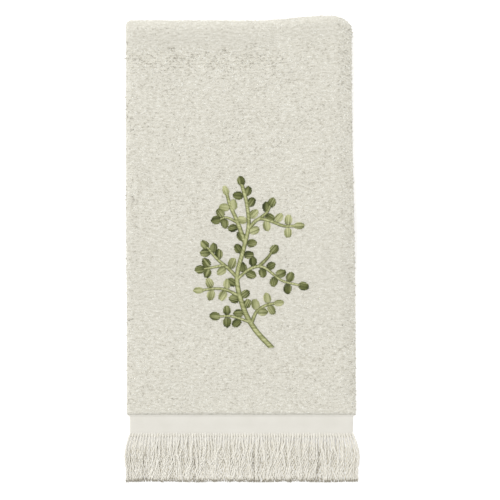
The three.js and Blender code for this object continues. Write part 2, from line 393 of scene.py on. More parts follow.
def set_finish(shader, roughness, specular, sheen=0.0, sheen_roughness=0.5):
    shader.inputs["Roughness"].default_value = roughness
    shader.inputs["Specular IOR Level"].default_value = specular
    shader.inputs["Sheen Weight"].default_value = sheen
    shader.inputs["Sheen Roughness"].default_value = sheen_roughness


def join(start, output, end, entry):
    """Links nodes. output and entry are names or places of sockets."""
    start.id_data.links.new(start.outputs[output], end.inputs[entry])


def tint(tree, shader, source, output, stops):
    """Colours the shader by a value, through stops."""
    node = add_node(tree, "ShaderNodeValToRGB")
    while len(node.color_ramp.elements) < len(stops):
        node.color_ramp.elements.new(0.5)
    for element, (place, colour) in zip(node.color_ramp.elements, stops):
        element.position = place
        element.color = (*colour, 1)
    join(source, output, node, "Fac")
    join(node, "Color", shader, "Base Color")


def bump(tree, shader, source, output, **values):
    node = add_node(tree, "ShaderNodeBump", **values)
    join(source, output, node, "Height")
    join(node, "Normal", shader, "Normal")


def fine_bump(tree, shader, place, scale, detail, strength, distance):
    noise = add_node(tree, "ShaderNodeTexNoise", Scale=scale, Detail=detail)
    join(place, "Object", noise, "Vector")
    bump(tree, shader, noise, "Fac", Strength=strength, Distance=distance)


def add_scaled(tree, source, output, factor, added):
    """A value times a factor, plus another."""
    node = add_node(tree, "ShaderNodeMath", operation="MULTIPLY_ADD")
    node.inputs[1].default_value = factor
    join(source, output, node, 0)
    join(added, "Fac", node, 2)
    return node


def spun(name, stops, mottle=0.0):
    """Soft cotton yarn. Each loop or strand has its own tone, which carries painted light and shade besides
    the cotton's own, mottled across the cloth if asked, and fine fibres show as bump."""
    material, tree, shader = new_material(name)
    set_finish(shader, roughness=0.95, specular=0.15, sheen=0.15)
    place = add_node(tree, "ShaderNodeTexCoord")
    tone = add_node(tree, "ShaderNodeAttribute", attribute_name="tone")
    if mottle:
        stretched = add_node(tree, "ShaderNodeMapping", Scale=(0.8, 2.2, 1.0))
        patches = add_node(tree, "ShaderNodeTexNoise", Scale=480.0, Detail=1.5)
        join(place, "Object", stretched, "Vector")
        join(stretched, "Vector", patches, "Vector")
        tint(tree, shader, add_scaled(tree, patches, "Fac", mottle, tone), 0, stops)
    else:
        tint(tree, shader, tone, "Fac", stops)
    fine_bump(tree, shader, place, scale=3000.0, detail=2.0, strength=0.35, distance=0.00015)
    return material


def woven(name, low, high, pitch, patch, strength, roughness):
    """Plain weave that follows the cloth's own directions."""
    material, tree, shader = new_material(name)
    set_finish(shader, roughness, specular=0.2, sheen=0.1)
    place = add_node(tree, "ShaderNodeUVMap", uv_map="cloth")
    both = add_node(tree, "ShaderNodeMath", operation="MULTIPLY")
    for entry, direction in enumerate("XY"):
        wave = add_node(tree, "ShaderNodeTexWave", bands_direction=direction, Scale=math.pi / (10 * pitch))
        wave.inputs["Distortion"].default_value = 0.6
        join(place, "UV", wave, "Vector")
        join(wave, "Fac", both, entry)
    drift = add_node(tree, "ShaderNodeTexNoise", Scale=patch, Detail=3.0)
    join(place, "UV", drift, "Vector")
    tint(tree, shader, add_scaled(tree, both, 0, 0.35, drift), 0, [(0.3, low), (0.8, high)])
    bump(tree, shader, both, 0, Strength=strength, Distance=0.0001)
    return material


def looped(name, low, high, mottle, cell, strength):
    """Close terry between the loops that are modelled: small cells, mottled, along and across the cloth, with
    painted shade between the cells.
    """
    material, tree, shader = new_material(name)
    set_finish(shader, roughness=0.95, specular=0.15, sheen=0.1)
    place = add_node(tree, "ShaderNodeUVMap", uv_map="cloth")
    stretched = add_node(tree, "ShaderNodeMapping", Scale=(1 / mottle[0], 1 / mottle[1], 1.0))
    patches = add_node(tree, "ShaderNodeTexNoise", Scale=1.0, Detail=2.0)
    join(place, "UV", stretched, "Vector")
    join(stretched, "Vector", patches, "Vector")
    packed = add_node(tree, "ShaderNodeMapping", Scale=(1 / cell[0], 1 / cell[1], 1.0))
    cells = add_node(tree, "ShaderNodeTexVoronoi", Scale=1.0)
    join(place, "UV", packed, "Vector")
    join(packed, "Vector", cells, "Vector")
    # painted shade between the cells, which the bump also sets lower
    between = add_scaled(tree, cells, "Distance", -0.22, patches)
    tint(tree, shader, between, 0, [(0.2, low), (0.62, high)])
    bump(tree, shader, cells, "Distance", Strength=strength, Distance=0.0006, invert=True)
    return material


def thread(name, stops, roughness):
    """Shiny embroidery thread. Each stitch has its own tone, which carries painted highlight and shade, and
    its twist shows as fine bump.
    """
    material, tree, shader = new_material(name)
    set_finish(shader, roughness, specular=0.35, sheen=0.08, sheen_roughness=0.35)
    tint(tree, shader, add_node(tree, "ShaderNodeAttribute", attribute_name="tone"), "Fac", stops)
    place = add_node(tree, "ShaderNodeTexCoord")
    fine_bump(tree, shader, place, scale=4200.0, detail=1.0, strength=0.25, distance=0.0001)
    return material


MOTTLE = 2.2  # how strongly the loops' colour changes from patch to patch: partly the cotton's own uneven tone, partly painted light and shade of loops turned different ways
PILE_STOPS = [(0.0, (0.64, 0.612, 0.532)), (0.5, (0.862, 0.84, 0.752)), (1.0, (1.0, 0.99, 0.915))]
# the darkest of the yarn's colours serve painted shade: on the lower layer, at the partings, between the
# roots and at the cut ends
YARN_STOPS = [(0.0, (0.40, 0.365, 0.29)), (0.3, (0.87, 0.835, 0.735)), (1.0, (1.0, 0.97, 0.885))]
DARK_STOPS = [(0.0, (0.055, 0.068, 0.012)), (0.5, (0.195, 0.215, 0.065)), (1.0, (0.50, 0.52, 0.25))]
LIGHT_STOPS = [(0.0, (0.15, 0.165, 0.05)), (0.5, (0.39, 0.41, 0.18)), (1.0, (0.70, 0.71, 0.40))]

pile_finish = spun("looped_cotton", PILE_STOPS, MOTTLE)
yarn_finish = spun("loose_yarn", YARN_STOPS)
ground_finish = looped(
    "close_terry",
    low=(0.64, 0.618, 0.535),
    high=(0.815, 0.793, 0.71),
    mottle=(3.0, 1.2),
    cell=(1.1, 0.8),
    strength=0.4,
)
border_finish = woven(
    "border_weave",
    low=(0.775, 0.752, 0.68),
    high=(0.825, 0.802, 0.735),
    pitch=0.45,
    patch=0.09,
    strength=0.3,
    roughness=0.85,
)
dark_finish = thread("dark_olive_thread", DARK_STOPS, roughness=0.5)
light_finish = thread("leaf_green_thread", LIGHT_STOPS, roughness=0.5)

# The sprig's chart

MAIN_STEM = [(18, -60), (8, -49), (1, -36), (-3, -18), (1, 0), (4, 14), (3, 27), (0, 39)]
# Stems, charted: name, the stem it leaves and how far along, the points it bends through, width,
# and the tone of its stitches
STEMS = [
    ("main", None, 0, MAIN_STEM, 2.9, 0.6),
    ("lower_right", "main", 0.18, [(9, -38), (15, -34), (20, -33)], 1.9, 0.55),
    ("lower_left", "main", 0.19, [(-6, -41), (-14, -41)], 1.5, 0.65),
    ("left_low", "main", 0.35, [(-9, -25), (-16, -24), (-24, -25)], 1.7, 0.6),
    ("left_mid", "main", 0.46, [(-8, -12), (-15, -6), (-21, 1)], 1.9, 0.55),
    ("left_side", "left_mid", 0.42, [(-17, -11), (-23, -12)], 1.4, 0.65),
    ("right_long", "main", 0.45, [(5, -12), (13, -11), (24, -19), (35, -22)], 1.6, 0.65),
    ("right_up", "right_long", 0.36, [(15, -6), (18, -2)], 1.9, 0.35),
    ("upper_left", "main", 0.66, [(-3, 17), (-7, 26), (-9, 33)], 2.5, 0.6),
    ("upper_side", "upper_left", 0.42, [(-9, 19), (-13, 18)], 1.4, 0.65),
    ("upper_right", "main", 0.745, [(10, 18), (17, 17), (25, 14), (32, 14)], 1.9, 0.6),
    ("right_crown", "upper_right", 0.26, [(15, 22), (17, 26)], 1.6, 0.45),
]

# The leaves of each stem: how far along it, the side, the thread, and their angle to the stem in degrees
LEAVES = {
    "main": [
        (0.25, "left", "dark", 74), (0.27, "right", "dark", 48), (0.325, "left", "dark", 64),
        (0.34, "right", "dark", 62), (0.41, "left", "dark", 42), (0.595, "left", "dark", 52),
        (0.59, "right", "dark", 72), (0.67, "left", "dark", 58), (0.655, "right", "dark", 70),
        (0.72, "right", "light", 60), (0.79, "left", "light", 78), (0.80, "right", "light", 48),
        (0.865, "right", "dark", 42), (0.93, "left", "dark", 72), (0.925, "right", "dark", 40),
        (1, "tip", "dark", 0),
    ],
    "lower_right": [
        (0.42, "left", "light", 64), (0.38, "right", "light", 52), (0.80, "both", "light", 80),
        (1, "tip", "light", 0),
    ],
    "lower_left": [(0.30, "left", "dark", 62), (0.74, "both", "dark", 84), (1, "tip", "dark", 0)],
    "left_low": [(0.38, "both", "light", 74), (0.74, "both", "light", 66), (1, "tip", "light", 0)],
    "left_mid": [
        (0.26, "right", "light", 64), (0.34, "left", "light", 76), (0.60, "right", "dark", 54),
        (0.84, "left", "dark", 58), (0.80, "right", "dark", 54), (1, "tip", "dark", 0),
    ],
    "left_side": [(0.72, "both", "dark", 62), (1, "tip", "dark", 0)],
    "right_long": [
        (0.13, "left", "dark", 64), (0.15, "right", "dark", 58), (0.28, "left", "dark", 66),
        (0.40, "right", "dark", 66), (0.46, "left", "dark", 54), (0.63, "right", "dark", 58),
        (0.63, "left", "dark", 66), (0.83, "both", "dark", 78), (1, "tip", "dark", 0),
    ],
    "right_up": [(1, "tip", "dark", 0)],
    "upper_left": [
        (0.72, "left", "light", 62), (0.64, "right", "light", 30), (1, "tip", "light", 0),
        (0.34, "left", "dark", 86),
    ],
    "upper_side": [(0.80, "both", "dark", 72), (1, "tip", "dark", 0)],
    "upper_right": [
        (0.42, "right", "light", 68), (0.60, "left", "light", 74), (0.86, "both", "light", 82),
        (1, "tip", "light", 0),
    ],
    "right_crown": [(0.58, "left", "dark", 46), (0.45, "right", "dark", 66), (1, "tip", "dark", 0)],
}
LEAF_SIZES = {"dark": (6.3, 4.9), "light": (6.7, 4.8)}
LEAF_UNEVEN = (0.94, 1.05)
LEAF_TURNED = 6  # a leaf is up to this many degrees off its angle
LEAF_SET_OFF = 0.35  # it starts this share of the stem's width off the stem's middle
TIP_SET_IN = 0.8  # and a tip leaf this far inside the stem's end
LIGHT_TIP_SLIM = 0.84
LEAF_THREADS = 9
LEAF_STATIONS = 9
LEAF_CROWN = 0.7
LEAF_MIDDLE_HIGHLIGHT = {"dark": 0.35, "light": 0.15}  # painted highlight and shade: the middle of a leaf is lighter than its edge by this tone
LEAF_TONES = {"dark": (0.32, 0.58), "light": (0.58, 0.8)}
# each leaf thread's tone differs at random by up to this, partly its own and partly painted sheen of the
# satin
LEAF_STREAK = 0.34
LEAF_SIDE_SHADE = 0.28  # painted shade: one side of a leaf, chosen at random, is darker than the other by up to twice this
STITCH_STATIONS = 6
STITCH_PITCH = 0.62
STITCH_SLANT = 0.7
STITCH_CROWN = 0.5
# each stitch's tone differs at random by up to this, partly its own and partly painted sheen
STITCH_STREAK = 0.24
STEM_TAPER = 0.32  # a stem loses this share of its width towards its tip
# painted highlight down a stem's middle and painted shade at its edges
STEM_HIGHLIGHT = 0.12
STEM_EDGE_SHADE = -0.75
THREADS_TOUCH = 1.05  # threads and stitches are this many times as wide as their spacing
STITCHES_TOUCH = 1.15
LINE_STEP = 0.25


def smooth_line(knots):
    """A smooth line through the knots, as points an even step apart."""
    knots = np.array(knots, float)
    padded = np.vstack([2 * knots[0] - knots[1], knots, 2 * knots[-1] - knots[-2]])
    share = np.linspace(0, 1, 24, endpoint=False)[:, None]
    runs = []
    for a, b, c, d in zip(padded, padded[1:], padded[2:], padded[3:]):
        square = (2 * a - 5 * b + 4 * c - d) * share**2
        cube = (3 * b - a - 3 * c + d) * share**3
        runs.append(0.5 * (2 * b + (c - a) * share + square + cube))
    line = np.vstack([*runs, knots[-1:]])
    reach = np.concatenate([[0], np.cumsum(np.linalg.norm(np.diff(line, axis=0), axis=1))])
    even = np.linspace(0, reach[-1], max(3, round(reach[-1] / LINE_STEP) + 1))
    return np.stack([np.interp(even, reach, line[:, i]) for i in range(2)], -1)


def along_line(line, share):
    """Points and headings at shares of a line's length."""
    at = np.clip(share, 0, 1) * (len(line) - 1)
    low = np.clip(np.floor(at).astype(int), 0, len(line) - 2)
    heading = unit(line[low + 1] - line[low])
    return line[low] + (line[low + 1] - line[low]) * (at - low)[..., None], heading


stems = {}
for name, parent, share, knots, width, tone in STEMS:
    if parent:
        start, _ = along_line(stems[parent][0], np.array(share))
        knots = [tuple(start), *knots]
    stems[name] = (smooth_line(knots), width, tone)

dice = np.random.default_rng(11)
leaves = []  # base x, y, heading x, y, length, width, thread
for name, rows in LEAVES.items():
    line, width, _ = stems[name]
    for share, side, kind, lean in rows:
        base, heading = along_line(line, np.array(share))
        turns = {"both": (1, -1), "left": (1,), "right": (-1,), "tip": (0,)}[side]
        for turn in turns:
            angle = math.radians(turn * lean + dice.uniform(-LEAF_TURNED, LEAF_TURNED))
            c, s = math.cos(angle), math.sin(angle)
            way = np.array([c * heading[0] - s * heading[1], s * heading[0] + c * heading[1]])
            out = way * (LEAF_SET_OFF * width if turn else -TIP_SET_IN)
            size = dice.uniform(*LEAF_UNEVEN)
            slim = LIGHT_TIP_SLIM if kind == "light" and side == "tip" else 1
            length, wide = LEAF_SIZES[kind]
            leaves.append((*(base + out), *way, length * size, wide * size * slim, kind))


def off_sprig(x, y):
    """How far points are outside the sprig's stitches."""
    away = np.full(np.shape(x), 1e9)
    for bx, by, wx, wy, length, width, _ in leaves:
        cx, cy = bx + wx * length / 2, by + wy * length / 2
        along = ((x - cx) * wx + (y - cy) * wy) / (length / 2)
        aside = ((y - cy) * wx - (x - cx) * wy) / (width / 2)
        away = np.minimum(away, (np.hypot(along, aside) - 1) * width / 2)
    for line, width, _ in stems.values():
        for px, py in line[::3]:
            away = np.minimum(away, np.hypot(x - px, y - py) - width / 2)
    return away


# The cloth's ground and borders


def sheet_shape(along, columns, terry):
    """A closed sheet on the cloth's folds between its outer and inner faces, and its flat map."""
    rows = Rows(along[:, None] + 0 * columns[None])
    across = rows.across(columns[None] + 0 * along[:, None])
    past = np.maximum(-along, along - CLOTH_LENGTH)[:, None]
    sunk = HEADING_SINK * ramp(past, -ROOTS_SHOW, HEADING_SHOWN)
    over_top = np.maximum(BACK_RUN - along, along - BACK_RUN - FOLD_ARC)[:, None]
    over_side = np.abs(columns[None] - 3.5) - 0.5
    pulled = 1 - ramp(over_top, 0, PULLED_PAST_TOP) * ramp(over_side, 0, PULLED_PAST_SIDE)
    base_deep = lerp(GROUND_DEEP, FOLD_DEEP, pulled) if terry else BORDER_DIVE * rows.pile
    thick = GROUND_THICK if terry else BORDER_THICK
    outer_deep = base_deep + sunk
    inner_deep = np.maximum(outer_deep + THINNEST, base_deep + thick)
    outer, inner = rows.points(across, outer_deep), rows.points(across, inner_deep)
    count, wide = outer.shape[:2]
    face = grid_faces(count, wide)
    far = count * wide
    edge = np.concatenate(
        [
            np.arange(wide),
            np.arange(1, count) * wide + wide - 1,
            (count - 1) * wide + np.arange(wide - 2, -1, -1),
            np.arange(count - 2, 0, -1) * wide,
        ]
    )
    after = np.roll(edge, -1)
    rim = np.stack([edge, after, after + far, edge + far], -1)
    flat = np.stack([across, along[:, None] + 0 * across], -1)
    low, size = flat.reshape(-1, 2).min(0), np.ptp(flat.reshape(-1, 2), axis=0)
    # the outer face takes the map's left half and the inner face its right
    spot = (flat - low) / size * [0.48, 0.98] + 0.01
    points = np.concatenate([outer.reshape(-1, 3), inner.reshape(-1, 3)])
    places = np.concatenate([spot.reshape(-1, 2), spot.reshape(-1, 2) + [0.5, 0]])
    shape = points, [face, face[:, ::-1] + far, rim], places, np.full(len(points), 0.5)
    return shape, np.concatenate([flat.reshape(-1, 2)] * 2)


def spans(*pieces):
    """Places from one value to the next in the given number of steps."""
    places = [pieces[0][0]]
    for start, end, steps in pieces:
        places += list(np.linspace(start, end, steps + 1)[1:])
    return np.array(places, float)


BACK_PILE_FROM = BACK_PILE_END - BACK_END
FRONT_PILE_TO = CLOTH_LENGTH - BORDER_LENGTH
COLUMNS = spans((0, 1, 20), (1, 2, 8), (2, 2.06, 4), (2.06, 2.94, 50), (2.94, 3, 4), (3, 4, 8), (4, 5, 20))


def sheet_piece(name, terry, material, slot, *places):
    shape, flat = sheet_shape(spans(*places), COLUMNS, terry)
    return make_piece(name, shape, material, flat)


ground = sheet_piece(
    "terry_ground",
    True,
    ground_finish,
    "terry",
    (BACK_PILE_FROM + GROUND_SHORT, BACK_RUN, 46),
    (BACK_RUN, BACK_RUN + FOLD_ARC, 16),
    (BACK_RUN + FOLD_ARC, FRONT_PILE_TO - GROUND_SHORT, 106),
)
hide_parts("towel_cloth")
front_border = sheet_piece(
    "front_border",
    False,
    border_finish,
    "woven_border",
    (FRONT_PILE_TO - BORDER_TUCK, FRONT_PILE_TO + PILE_STEP, 8),
    (FRONT_PILE_TO + PILE_STEP, CLOTH_LENGTH + HEADING_SHOWN, 14),
)
back_border = sheet_piece(
    "back_border",
    False,
    border_finish,
    "woven_border",
    (-HEADING_SHOWN, BACK_PILE_FROM - PILE_STEP, 14),
    (BACK_PILE_FROM - PILE_STEP, BACK_PILE_FROM + BORDER_TUCK, 8),
)

# The pile

# Short lines near the top where the loops part: x and y of the middle, half length, strength
dice = np.random.default_rng(5)
STREAKS = [
    (dice.uniform(-64, 60), dice.uniform(70, 123), dice.uniform(3, 8), dice.uniform(0.26, 0.5))
    for _ in range(56)
]
STREAK_TILT = 0.04
STREAK_WIDE = 1.3
TROUGH_CALM = 0.3  # in the trough under the top fold they part less by this share
CALM_FROM = 104
CALM_TO = 116


def parted(x, y):
    """Which way and how much the loops lean away from the nearest parting lines."""
    lean = np.zeros(np.shape(x))
    for sx, sy, half, strength in STREAKS:
        off = y - sy - STREAK_TILT * (x - sx)
        lean += strength * np.sign(off) * np.exp(-((off / STREAK_WIDE) ** 2) - ((x - sx) / half) ** 4)
    return np.clip(lean, -1, 1) * (1 - TROUGH_CALM * ramp(y, CALM_FROM, CALM_TO))


JITTER_ACROSS = 0.3  # loops are out of their rows by up to these shares of their spacing
JITTER_ALONG = 0.16


def pile_roots(start, end, first, last, pitch, dice):
    """Places of the loops, each row of them from one column to another."""
    wide, apart = pitch
    along, across = [], []
    for i, at in enumerate(np.arange(start + apart / 2, end, apart)):
        row = Rows(np.array([at, at]))
        low, high = row.across(np.array([first, last], float))
        count = max(1, round((high - low) / wide))
        spots = low + (np.arange(count) + 0.5 * (i % 2) + 0.25) * (high - low) / count
        spots = spots + dice.uniform(-JITTER_ACROSS, JITTER_ACROSS, count) * wide
        along.append(at + dice.uniform(-JITTER_ALONG, JITTER_ALONG, count) * apart)
        across.append(np.clip(spots, low, high))
    return np.concatenate(along), np.concatenate(across)


LOOP_STATIONS = 5
LOOP_LEAN = (56, 74)  # degrees from upright, up the towel
PARTED_FROM = 0.25  # from this strength on they lean straight away from a parting line
PARTED_LEAN = 16  # and by up to this many degrees more
LAST_ROWS = 1.9  # the loops this near the border lean back from it or stand
TALLEST = 2.6
LEG_TURN = 0.3  # a loop's legs end this much short of a full turn
FOLD_PAINTED_LIGHT = 0.15  # round the top fold the loops are paler, painted light where the fold faces the lamp, and more alike
OFF_STITCHES = 0.05  # loops start this far from the sprig
SHORT_LOOPS = (0.1, 1.8)  # and are shorter between these distances from it
SHORTEST = 0.55


def slow_turn(x, y):
    """How the loops' direction drifts over the cloth."""
    return 1.4 * np.sin(x / 5.3 + 0.7 * np.sin(y / 7.1)) + 1.7 * np.sin(y / 6.1 + 0.9 * np.sin(x / 8.3))


def loop_directions(rows, along, across, root, dice, own_dice):
    """Each loop's directions along its mouth, up its height and across both, and its lean."""
    count = len(along)
    normal = unit(rows.points(across, 0 * across) - root)
    sideways = unit(rows.points(across + 0.4, 0 * across) - rows.points(across - 0.4, 0 * across))
    onward = np.cross(normal, sideways)
    x, y = root[:, 0], root[:, 1]
    plane = dice.normal(0, 0.25, count)
    aslant = 0.3 * slow_turn(x, y) + dice.uniform(-1.0, 1.0, count)
    lean = np.radians(dice.uniform(*LOOP_LEAN, count))
    part = parted(x, y) * rows.front
    away = np.where(part > 0, -math.pi / 2, math.pi / 2)
    leaning = np.where(np.abs(part) > PARTED_FROM, away, math.pi / 2 + aslant)
    lean = lean + np.radians(PARTED_LEAN) * np.abs(part)
    last = ramp(along, FRONT_PILE_TO - LAST_ROWS, FRONT_PILE_TO - 0.3)
    leaning = np.where(last > 0.3, math.pi / 2 + 0.6 * aslant, leaning)
    lean = lean * (1 - last * own_dice.uniform(0, 1, count))
    around = np.cos(plane)[:, None] * sideways + np.sin(plane)[:, None] * onward
    pole = (
        np.cos(lean)[:, None] * normal
        + (np.sin(lean) * np.cos(leaning))[:, None] * sideways
        + (np.sin(lean) * np.sin(leaning))[:, None] * onward
    )
    return around, pole, unit(np.cross(around, pole)), lean


def loop_paths(root, directions, room, wide, dice):
    """The path of each loop's yarn from leg to leg."""
    around, pole, aside, lean = directions
    count = len(root)
    rise_to = (LOOP_DEEP - 0.12 + dice.uniform(-0.15, 0.12, count)) * room
    high = np.minimum(rise_to / np.cos(lean), TALLEST)
    width = wide * dice.uniform(0.75, 1.2, count)
    turn = np.linspace(LEG_TURN, 2 * math.pi - LEG_TURN, LOOP_STATIONS)
    rise = (1 - np.cos(turn)) / 2
    swing = np.sin(turn) / 2 * (0.4 + 0.6 * rise)
    skew = dice.uniform(-0.5, 0.5, count)[:, None] * (turn / (2 * math.pi) - 0.5)
    return (
        root[:, None]
        + around[:, None] * (width[:, None] * swing)[..., None]
        + pole[:, None] * (high[:, None] * rise)[..., None]
        + aside[:, None] * skew[..., None]
    )


def loop_tones(rows, x, y, dice):
    # each loop's tone: partly the cotton's own uneven tone, partly painted light and shade of loops turned
    # different ways
    patches = np.sin(x / 3.1 + 2 * np.sin(y / 4.3)) * np.sin(y / 2.3 + 2 * np.sin(x / 5.9))
    half_over = 1 - ramp(rows.angle, math.pi / 2 - 0.01, math.pi / 2)
    # painted light: round the top fold the loops are paler and vary less
    even = ramp(rows.angle, -math.pi / 4, math.pi / 4) * half_over
    uneven = 0.2 * patches + dice.uniform(-0.45, 0.45, len(x))
    return (1 - MOTTLE) / 2 + lerp(uneven, 0.25 * uneven + FOLD_PAINTED_LIGHT, even)


def pile_piece(name, areas, pitch, seed, wide=1.5, yarn=0.3, sprig=False):
    """Loops of pile on areas of the cloth, each given by its start, end, first and last column."""
    dice = np.random.default_rng(seed)
    roots = [pile_roots(*area, pitch, dice) for area in areas]
    along, across = (np.concatenate(part) for part in zip(*roots))
    rows = Rows(along)
    root = rows.points(across, LOOP_DEEP + 0 * across)
    room = 1
    if sprig:
        away = off_sprig(root[:, 0], root[:, 1])
        keep = away > OFF_STITCHES
        along, across, root, away = along[keep], across[keep], root[keep], away[keep]
        rows = Rows(along)
        room = lerp(SHORTEST, 1, ramp(away, *SHORT_LOOPS))
    directions = loop_directions(rows, along, across, root, dice, np.random.default_rng(seed + 100))
    paths = loop_paths(root, directions, room, wide, dice)
    paths[..., 2] = np.maximum(paths[..., 2], 1.16 * yarn)
    radii = yarn * dice.uniform(0.85, 1.15, len(root))[:, None]
    tones = loop_tones(rows, root[:, 0], root[:, 1], dice)
    return make_piece(name, tubes(paths, radii, 3, directions[2][:, None], tones), pile_finish)


FRONT_FROM = BACK_RUN + FOLD_ARC
PITCH = (1.0, 1.85)  # across and along the cloth
UNDER_PITCH = (2.4, 2.2)  # where only the underside shows
PILE_COVERS = 0.15  # the last loops hide the ground's end
thirds = np.linspace(FRONT_FROM, FRONT_PILE_TO + PILE_COVERS, 4)
front_pile = [
    pile_piece(f"pile_{name}", [(start, end, 1.75, 3.25)], PITCH, seed, sprig=True)
    for name, start, end, seed in zip(("top", "middle", "low"), thirds, thirds[1:], (21, 22, 25))
]
side_pile = pile_piece(
    "pile_edges",
    [
        (BACK_RUN, FRONT_FROM, 1, 4),
        (FRONT_FROM, FRONT_PILE_TO + PILE_COVERS, 1, 1.75),
        (FRONT_FROM, FRONT_PILE_TO + PILE_COVERS, 3.25, 4),
        (BACK_PILE_FROM, BACK_RUN, 1, 2),
        (BACK_PILE_FROM, BACK_RUN, 3, 4),
    ],
    PITCH,
    23,
    wide=1.3,
    yarn=0.32,
)
FLAPS_SHOW_FROM = FRONT_FROM + FOLD_LINE - BACK_TIP
under_pile = pile_piece(
    "pile_under",
    [
        (BACK_PILE_FROM, BACK_RUN, 2, 3),
        (FLAPS_SHOW_FROM, FRONT_PILE_TO, 0, 1),
        (FLAPS_SHOW_FROM, FRONT_PILE_TO, 4, 5),
    ],
    UNDER_PITCH,
    24,
    wide=2.0,
    yarn=0.36,
)

# The fringes


def vary(number, seed):
    """An uneven value from -1 to 1 for each strand, as in the source."""
    turn = math.sin(number * 12.9898 + seed * 78.233) * 43758.5453
    return 2 * (turn - math.floor(turn)) - 1


def yarn_shift(x, edge, flare, share, parting):
    """How far aside a yarn lies along its length: the spread at the sides, a sway and the partings."""
    outward = math.copysign(abs(edge) ** FLARE_POWER, edge)
    spread = flare * outward * np.sin(math.pi * np.minimum(share, FLARE_HOLD))
    lean = SWAY * math.sin(x / SWAY_REACH) * np.sin(math.pi * share)
    for px, amount in PARTINGS:
        away = x - px
        lean = lean + parting * amount * np.sign(away) * math.exp(-abs(away) / PARTING_REACH) * share * share
    return spread + lean * (1 - abs(outward))


PLIES = 3
PLY_RADIUS = 0.36
PLY_REACH = 0.38
PLY_LOOSE = [0.8, 0.58]  # how far the plies are from the yarn's middle once they come apart, below and above
YARN_STATIONS = 32
LAYERS_OF_YARN = [(0.45, 1.1, 0.0), (1.88, 1.78, 1.3)]  # root height, bed height, share of the partings
ROOT_BETWEEN_FLAPS = 1.25
FLAP_GAP = 9  # between the folded flaps the lower yarns hang from the main layer
LOWER_FREE = 0.2  # the lower yarns sway less than the upper ones
CLUMP = 7.5  # the upper yarns gather in clumps about this far apart
GATHER = 0.62
TIP_RAGGED = 0.18
TIP_REACH = 0.76
TIPS_DIP = 1.35  # the upper yarns come down to the floor at their ends
YARN_TONES = [(0.18, 0.74), (0.5, 1)]  # below and above; the lower yarns are darker, painted shade under the upper ones, and each yarn's tone differs at random
ROOT_SHADE = 0.22  # painted shade: the lower yarns are darker between the roots of the upper ones
PARTING_SHADE = 0.32  # painted shade: the yarns at a parting are darker, the lower ones most
PARTING_WIDE = 3.0
ENDS_PALER = 0.15  # the yarns are paler before their ends
TIP_SHADE_FROM = 0.914  # painted shade: the cut ends are darker from here, in place of their shadow on the floor
TIP_SHADE_TO = 0.974
TIP_SHADE = 0.88
LOWER_TIP_SHADE_SOONER = 0.03


def ply_tone(tone, level, x, share):
    """The tone along a ply from its own tone and its yarn's layer and place, with painted shade at the
    partings, between the roots and at the cut end.
    """
    near = sum(np.exp(-(((x - px) / PARTING_WIDE) ** 2)) for px, _ in PARTINGS)
    shade = PARTING_SHADE * near * ramp(share, 0.2, 0.55)
    tone = tone - shade * (1 - 0.6 * level)
    tone = tone + ENDS_PALER * ramp(share, 0.6, 0.85) * (1 - ramp(share, 0.88, 0.94))
    if level == 0:
        tone = tone - ROOT_SHADE * (1 - ramp(share, 0.1, 0.4))
    # painted shade on the yarns' cut ends, in place of their shadow on the floor
    tip_shade_from = TIP_SHADE_FROM - LOWER_TIP_SHADE_SOONER * (1 - level)
    return tone * (1 - TIP_SHADE * ramp(share, tip_shade_from, TIP_SHADE_TO))


